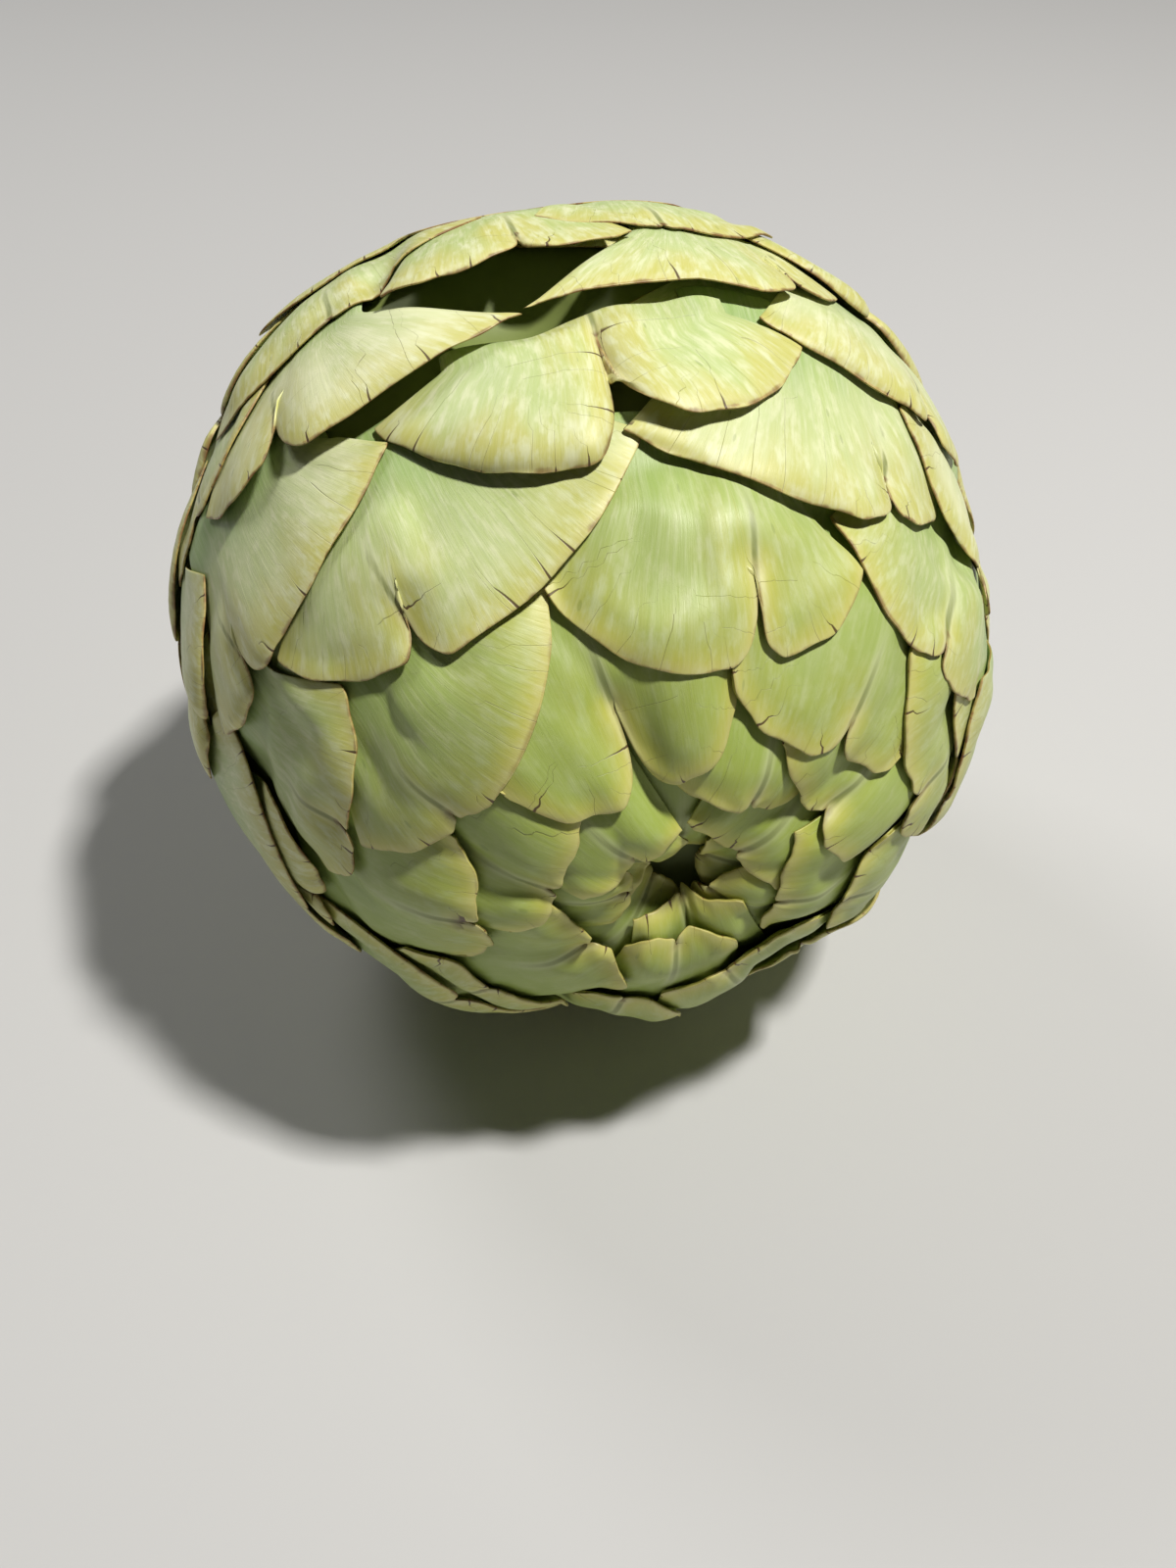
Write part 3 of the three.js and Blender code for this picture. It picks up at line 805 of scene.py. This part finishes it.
# Skin of a blade: numbers beside rim, reach, notch and crease are millimetres
skin, tree, shader = newMaterial("bractSkin", 0.42)
rim, place, across, reach, tone, seed, notch, crease, frost = (
    attribute(tree, name)
    for name in ("rim", "place", "across", "reach", "tone", "seed", "notch", "crease", "frost"))
marks = useGroup(tree, fibres, across, reach, seed)
edge = useGroup(tree, rimMarks, rim, place, seed)
wobble = calc(tree, "MULTIPLY", calc(tree, "SUBTRACT", marks["Patch"], 0.5), 14.0)
deep = calc(tree, "ADD", rim, wobble)
outer = mixed(tree, ranged(tree, deep, 1.0, 9.0), skinColours["warm"], skinColours["base"])
outer = mixed(tree, ranged(tree, marks["Dapple"], 0.42, 0.72, 0.0, 0.8), outer, skinColours["pale"])
outer = mixed(tree, ranged(tree, deep, 8.0, 19.0, 0.0, 0.85), outer, skinColours["waxy"])
young = mixed(tree, ranged(tree, rim, 0.5, 3.5), skinColours["young"], skinColours["inner"])
body = mixed(tree, calc(tree, "MULTIPLY", tone, 0.85), outer, young)

# bloom, then fibres and flecks
rime = calc(tree, "MULTIPLY", frost, ranged(tree, marks["Patch"], 0.25, 0.7, 0.35, 1.0))
rime = calc(tree, "MULTIPLY", rime, ranged(tree, reach, 11.0, 24.0, 1.0, 0.0))
rime = calc(tree, "MULTIPLY", rime, ranged(tree, rim, 0.5, 5.0))
body = mixed(tree, rime, body, skinColours["frost"])
grown = calc(tree, "SUBTRACT", 1.0, calc(tree, "MULTIPLY", tone, 0.7))
fineShare = calc(tree, "MULTIPLY", ranged(tree, marks["Fine"], 0.35, 0.85, 0.0, 0.36), grown)
body = mixed(tree, fineShare, body, skinColours["fibre"])
body = mixed(tree, calc(tree, "MULTIPLY", marks["Fleck"], 0.3), body, skinColours["fleck"])

# the fold that runs up from the notch: a painted highlight beside it, painted shade in it
# painted highlight along both edges of the crease
foldEdgeHighlight = calc(tree, "MULTIPLY", ranged(tree, crease, 0.3, 1.2, 0.22, 0.0),
                  ranged(tree, notch, 5.0, 16.0, 1.0, 0.0))
body = mixed(tree, foldEdgeHighlight, body, skinColours["fibre"])
# painted shade: dark in the crease itself
creaseShade = calc(tree, "MULTIPLY", ranged(tree, crease, 0.15, 0.5, 0.75, 0.0),
              ranged(tree, notch, 1.0, 11.0, 1.0, 0.0))
body = mixed(tree, creaseShade, body, skinColours["foldShade"])

# the rim's pale lip and brown line, the spot in the notch, and the cracks
body = mixed(tree, ranged(tree, rim, 0.2, 1.4, 0.35, 0.0), body, skinColours["lip"])
rimColour = mixed(tree, edge["Tan"], skinColours["tan"], skinColours["brown"])
lineShare = calc(tree, "MULTIPLY", edge["Line"], ranged(tree, tone, 0.2, 0.9, 0.8, 0.3))
body = mixed(tree, lineShare, body, rimColour)
spotShare = calc(tree, "SUBTRACT", 1.0, calc(tree, "MULTIPLY", tone, 0.75))
spot = calc(tree, "MULTIPLY", ranged(tree, notch, 0.2, 0.75, 0.85, 0.0), spotShare)
body = mixed(tree, spot, body, skinColours["notch"])
body = mixed(tree, calc(tree, "MULTIPLY", edge["Crack"], 0.9), body, skinColours["crack"])
feed(tree, shader.inputs["Base Color"], body)
feed(tree, shader.inputs["Roughness"], ranged(tree, marks["Fine"], 0.3, 0.8, 0.4, 0.54))
relievo = calc(tree, "SUBTRACT", calc(tree, "MULTIPLY", marks["Fine"], 0.5), edge["Crack"])
bumped(tree, shader, relievo, 0.25 * mm, 0.4)

# Cut face of a blade's rim
rimSkin, tree, shader = newMaterial("bractRim", 0.5)
place, crease, seed, tone = (attribute(tree, name) for name in ("place", "crease", "seed", "tone"))
edge = useGroup(tree, rimMarks, 0.0, place, seed)
body = mixed(tree, edge["Tan"], skinColours["rim"], skinColours["wornRim"])
body = mixed(tree, ranged(tree, tone, 0.25, 0.8, 0.0, 0.75), body, skinColours["youngRim"])
# painted shade: the cut face darkens near the notch's crease
body = mixed(tree, ranged(tree, crease, 1.0, 3.0, 0.85, 0.0), body, skinColours["foldRimShade"])
body = mixed(tree, calc(tree, "MULTIPLY", edge["Crack"], 0.7), body, skinColours["brown"])
feed(tree, shader.inputs["Base Color"], body)
print("skin made")

# The bracts are laid from the bud's tip outwards, on top of the hidden layer
bracts = [frontBract(name, points) for name, points in (frontBracts | coverBracts).items()]
bracts += coreBracts() + spiralBracts(spiral)
bracts.sort(key=lambda bract: bract["angle"])
bracts = spiralBracts(underSpiral) + bracts
lobeDraws = np.random.default_rng(ageing["lobeSeed"])
youngAngle, grownAngle = math.radians(ageing["youngAngle"]), math.radians(ageing["grownAngle"])
for number, bract in enumerate(bracts):
    tone = float(1 - smoothStep(bract["angle"], youngAngle, grownAngle))
    highest = ageing["lobeLift"] + ageing["innerLobeLift"] * tone
    bract["tone"] = tone
    bract["seed"] = (number * ageing["seedStep"]) % 1
    bract["thickness"] = (bractShape["thickness"]
                          + (bractShape["innerThickness"] - bractShape["thickness"]) * tone)
    bract["length"] = bractLengths.get(bract["name"], bractShape["length"])
    bract["frost"] = bractFrost.get(bract["name"], ageing["frost"] * (1 - tone))
    bract["lobes"] = lobeLifts.get(bract["name"], tuple(lobeDraws.uniform(0, highest, 2)))
print("bracts placed:", len(bracts))

for bract in bracts:
    piece = bractPiece(bract, reliefHeight)
    reliefHeight = reliefAfter(bract, reliefHeight)
    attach(piece, "root")
    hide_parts("head")
print("bracts made")

# Heart under the bracts
deselectAll()
bpy.ops.mesh.primitive_ico_sphere_add(subdivisions=5, radius=1)
heart = bpy.context.object
heart.name = "heart"
ball = np.array([vertex.co for vertex in heart.data.vertices])
ball /= np.linalg.norm(ball, axis=1)[:, None]
ball *= heartHeight(ball)[:, None]
ball[:, 1] = np.minimum(ball[:, 1], head["stemSeat"])
setVertices(heart, ball * mm + np.array(headCentre))
bpy.ops.object.shade_smooth()
flesh, tree, shader = newMaterial("heartShadedFlesh", 0.6)
where = tree.nodes.new("ShaderNodeTexCoord").outputs["Object"]
cloudy = noise(tree, where, 160.0, 3.0)
# the heart is a dark olive, darker than the bracts: painted shade for the gaps it shows through
feed(tree, shader.inputs["Base Color"], mixed(tree, cloudy, paint(104, 118, 52), paint(134, 146, 84)))
heart.data.materials.append(flesh)
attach(heart, "root")
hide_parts("head")
print("heart made")

# Stem: ribbed stalk with a cut end, as rings of (distance from the head's middle, radius)
stemShape = {
    "sides": 144,
    "ribs": 9,
    "ribHeight": 0.7,
    "strands": 31,
    "strandHeight": 0.12,
    "strandTwist": 0.4,
    "barkRadius": 9,
    "edgeAngle": 50,
    "rings": ((49.35, 1.5), (49.35, 11.6), (49.9, 12.2), (51.5, 12.4), (54, 12.35), (57, 12.3), (60, 12.35),
              (62.6, 12.4), (63.9, 12.2), (64.4, 11.7), (64.48, 11.0), (64.3, 10.2), (64.25, 8), (64.15, 5.5),
              (64.2, 3), (64.25, 1.2)),
}
deselectAll()
bpy.ops.mesh.primitive_circle_add(vertices=stemShape["sides"], radius=1, fill_type="NOTHING")
stalk = bpy.context.object
stalk.name = "stalk"
bpy.ops.object.mode_set(mode="EDIT")
bpy.ops.mesh.select_all(action="SELECT")
bpy.ops.mesh.edge_face_add()
for _ in stemShape["rings"][1:]:
    bpy.ops.mesh.extrude_region_move(TRANSFORM_OT_translate={"value": (0, 0, 1)})
bpy.ops.object.mode_set(mode="OBJECT")
rings = np.array(stemShape["rings"])
corners = np.array([vertex.co for vertex in stalk.data.vertices])
ring = np.rint(corners[:, 2]).astype(int)
around = np.arctan2(corners[:, 1], corners[:, 0])
grooves = stemShape["ribHeight"] * (0.5 - 0.5 * np.cos(stemShape["ribs"] * around)) ** 2
strandWave = 1 + np.sin(stemShape["strands"] * around + stemShape["strandTwist"] * ring)
grooves += stemShape["strandHeight"] * strandWave * (rings[ring, 1] > stemShape["barkRadius"])
spread = rings[ring, 1] - grooves * rings[ring, 1] / head["stemRadius"]
corners = np.stack([spread * np.cos(around), rings[ring, 0], spread * np.sin(around)], axis=-1)
setVertices(stalk, corners * mm + np.array(headCentre))
bpy.ops.object.mode_set(mode="EDIT")
bpy.ops.mesh.select_all(action="SELECT")
bpy.ops.mesh.normals_make_consistent(inside=False)
bpy.ops.object.mode_set(mode="OBJECT")
bpy.ops.object.shade_smooth_by_angle(angle=math.radians(stemShape["edgeAngle"]))
keepInside(stalk)

# Bark with long strands, and a cut face of pith inside a brown ring, in millimetres
stemLook = {"strandPace": 900.0, "strandLengthPace": 60.0, "pithPace": 1400.0, "ringInside": 8.6,
            "ringOutside": 10.6, "cutStart": 64.0, "cutEnd": 64.12}
stemSkin, tree, shader = newMaterial("stemSkin", 0.55)
where = tree.nodes.new("ShaderNodeTexCoord").outputs["Object"]
parts = tree.nodes.new("ShaderNodeSeparateXYZ")
feed(tree, parts.inputs[0], where)
offAxis = vector(tree, calc(tree, "SUBTRACT", parts.outputs[0], headCentre.x),
                 calc(tree, "SUBTRACT", parts.outputs[2], headCentre.z), 0.0)
measure = tree.nodes.new("ShaderNodeVectorMath")
measure.operation = "LENGTH"
feed(tree, measure.inputs[0], offAxis)
axisAway = calc(tree, "MULTIPLY", measure.outputs["Value"], 1 / mm)
strandPlace = vector(tree, calc(tree, "MULTIPLY", parts.outputs[0], stemLook["strandPace"]),
                     calc(tree, "MULTIPLY", parts.outputs[1], stemLook["strandLengthPace"]),
                     calc(tree, "MULTIPLY", parts.outputs[2], stemLook["strandPace"]))
strands = noise(tree, strandPlace, 1.0, 3.0, 0.6)
pith = noise(tree, where, stemLook["pithPace"], 3.0, 0.6)
bark = mixed(tree, ranged(tree, strands, 0.35, 0.7), paint(128, 142, 78), paint(184, 188, 132))
cut = mixed(tree, ranged(tree, pith, 0.4, 0.65), paint(196, 192, 144), paint(158, 152, 96))
ringShare = ranged(tree, axisAway, stemLook["ringInside"], stemLook["ringOutside"])
cut = mixed(tree, ringShare, cut, paint(140, 112, 66))
cutMask = ranged(tree, parts.outputs[1], headCentre.y + stemLook["cutStart"] * mm,
                 headCentre.y + stemLook["cutEnd"] * mm)
feed(tree, shader.inputs["Base Color"], mixed(tree, cutMask, bark, cut))
bumped(tree, shader, calc(tree, "ADD", strands, calc(tree, "MULTIPLY", pith, cutMask)), 0.4 * mm, 0.5)
stalk.data.materials.append(stemSkin)
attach(stalk, "root")
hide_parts("stem")
print("stem made")

# Floor, light and camera
deselectAll()
bpy.ops.mesh.primitive_plane_add(size=6, location=(0, 0, 0))
floor = bpy.context.object
floor.name = "floor"
paper, tree, shader = newMaterial("floorPaper", 0.9)
shader.inputs["Base Color"].default_value = (0.55, 0.55, 0.55, 1)
floor.data.materials.append(paper)

world = bpy.data.worlds.new("studio")
bpy.context.scene.world = world
world.use_nodes = True
world.node_tree.nodes["Background"].inputs["Color"].default_value = (1, 1, 1, 1)
world.node_tree.nodes["Background"].inputs["Strength"].default_value = 0.04

# Lights, each seen from the head's middle, with metres and watts
lights = {
    "keyLight": {"way": (0.34, -0.2, 0.92), "away": 0.9, "size": 0.08, "power": 9.8,
                 "colour": (1.0, 0.975, 0.93)},
    "crownLight": {"way": (-0.4, 0.6, 0.69), "away": 0.9, "size": 0.3, "power": 2.2,
                   "colour": (1.0, 0.99, 0.97)},
}
for name, light in lights.items():
    lampPlace = headCentre + Vector(light["way"]).normalized() * light["away"]
    deselectAll()
    bpy.ops.object.light_add(type="AREA", location=lampPlace)
    lamp = bpy.context.object
    lamp.name = name
    lamp.data.size = light["size"]
    lamp.data.energy = light["power"]
    lamp.data.color = light["colour"]
    lamp.rotation_euler = (headCentre - lampPlace).to_track_quat("-Z", "Y").to_euler()

# Camera, as the photo was taken: turn and drop of its line of sight, and the pixels of the photo
view = {
    "turn": math.radians(-13.06),
    "drop": math.radians(44.68),
    "distance": 204.5 * mm,
    "focalPixels": 1500.0,
    "frameSize": (1200, 1600),
    "headPixel": (593.0, 626.0),
    "sensor": 36,
}
a, e = view["turn"], view["drop"]
rightWay = Vector((math.cos(a), math.sin(a), 0))
forwardWay = Vector((-math.sin(a) * math.cos(e), math.cos(a) * math.cos(e), -math.sin(e)))
upWay = rightWay.cross(forwardWay)
sideways = (view["headPixel"][0] - view["frameSize"][0] / 2) / view["focalPixels"]
downwards = (view["headPixel"][1] - view["frameSize"][1] / 2) / view["focalPixels"]
sight = (forwardWay + sideways * rightWay - downwards * upWay).normalized()
bpy.ops.object.camera_add(location=headCentre - view["distance"] * sight)
camera = bpy.context.object
camera.name = "photoCamera"
camera.rotation_euler = Matrix((rightWay, upWay, -forwardWay)).transposed().to_euler()
camera.data.sensor_width = view["sensor"]
camera.data.lens = view["focalPixels"] / view["frameSize"][1] * view["sensor"]
camera.data.clip_start = 0.01
bpy.context.scene.camera = camera
bpy.context.scene.view_settings.view_transform = "Standard"
print("stage ready")
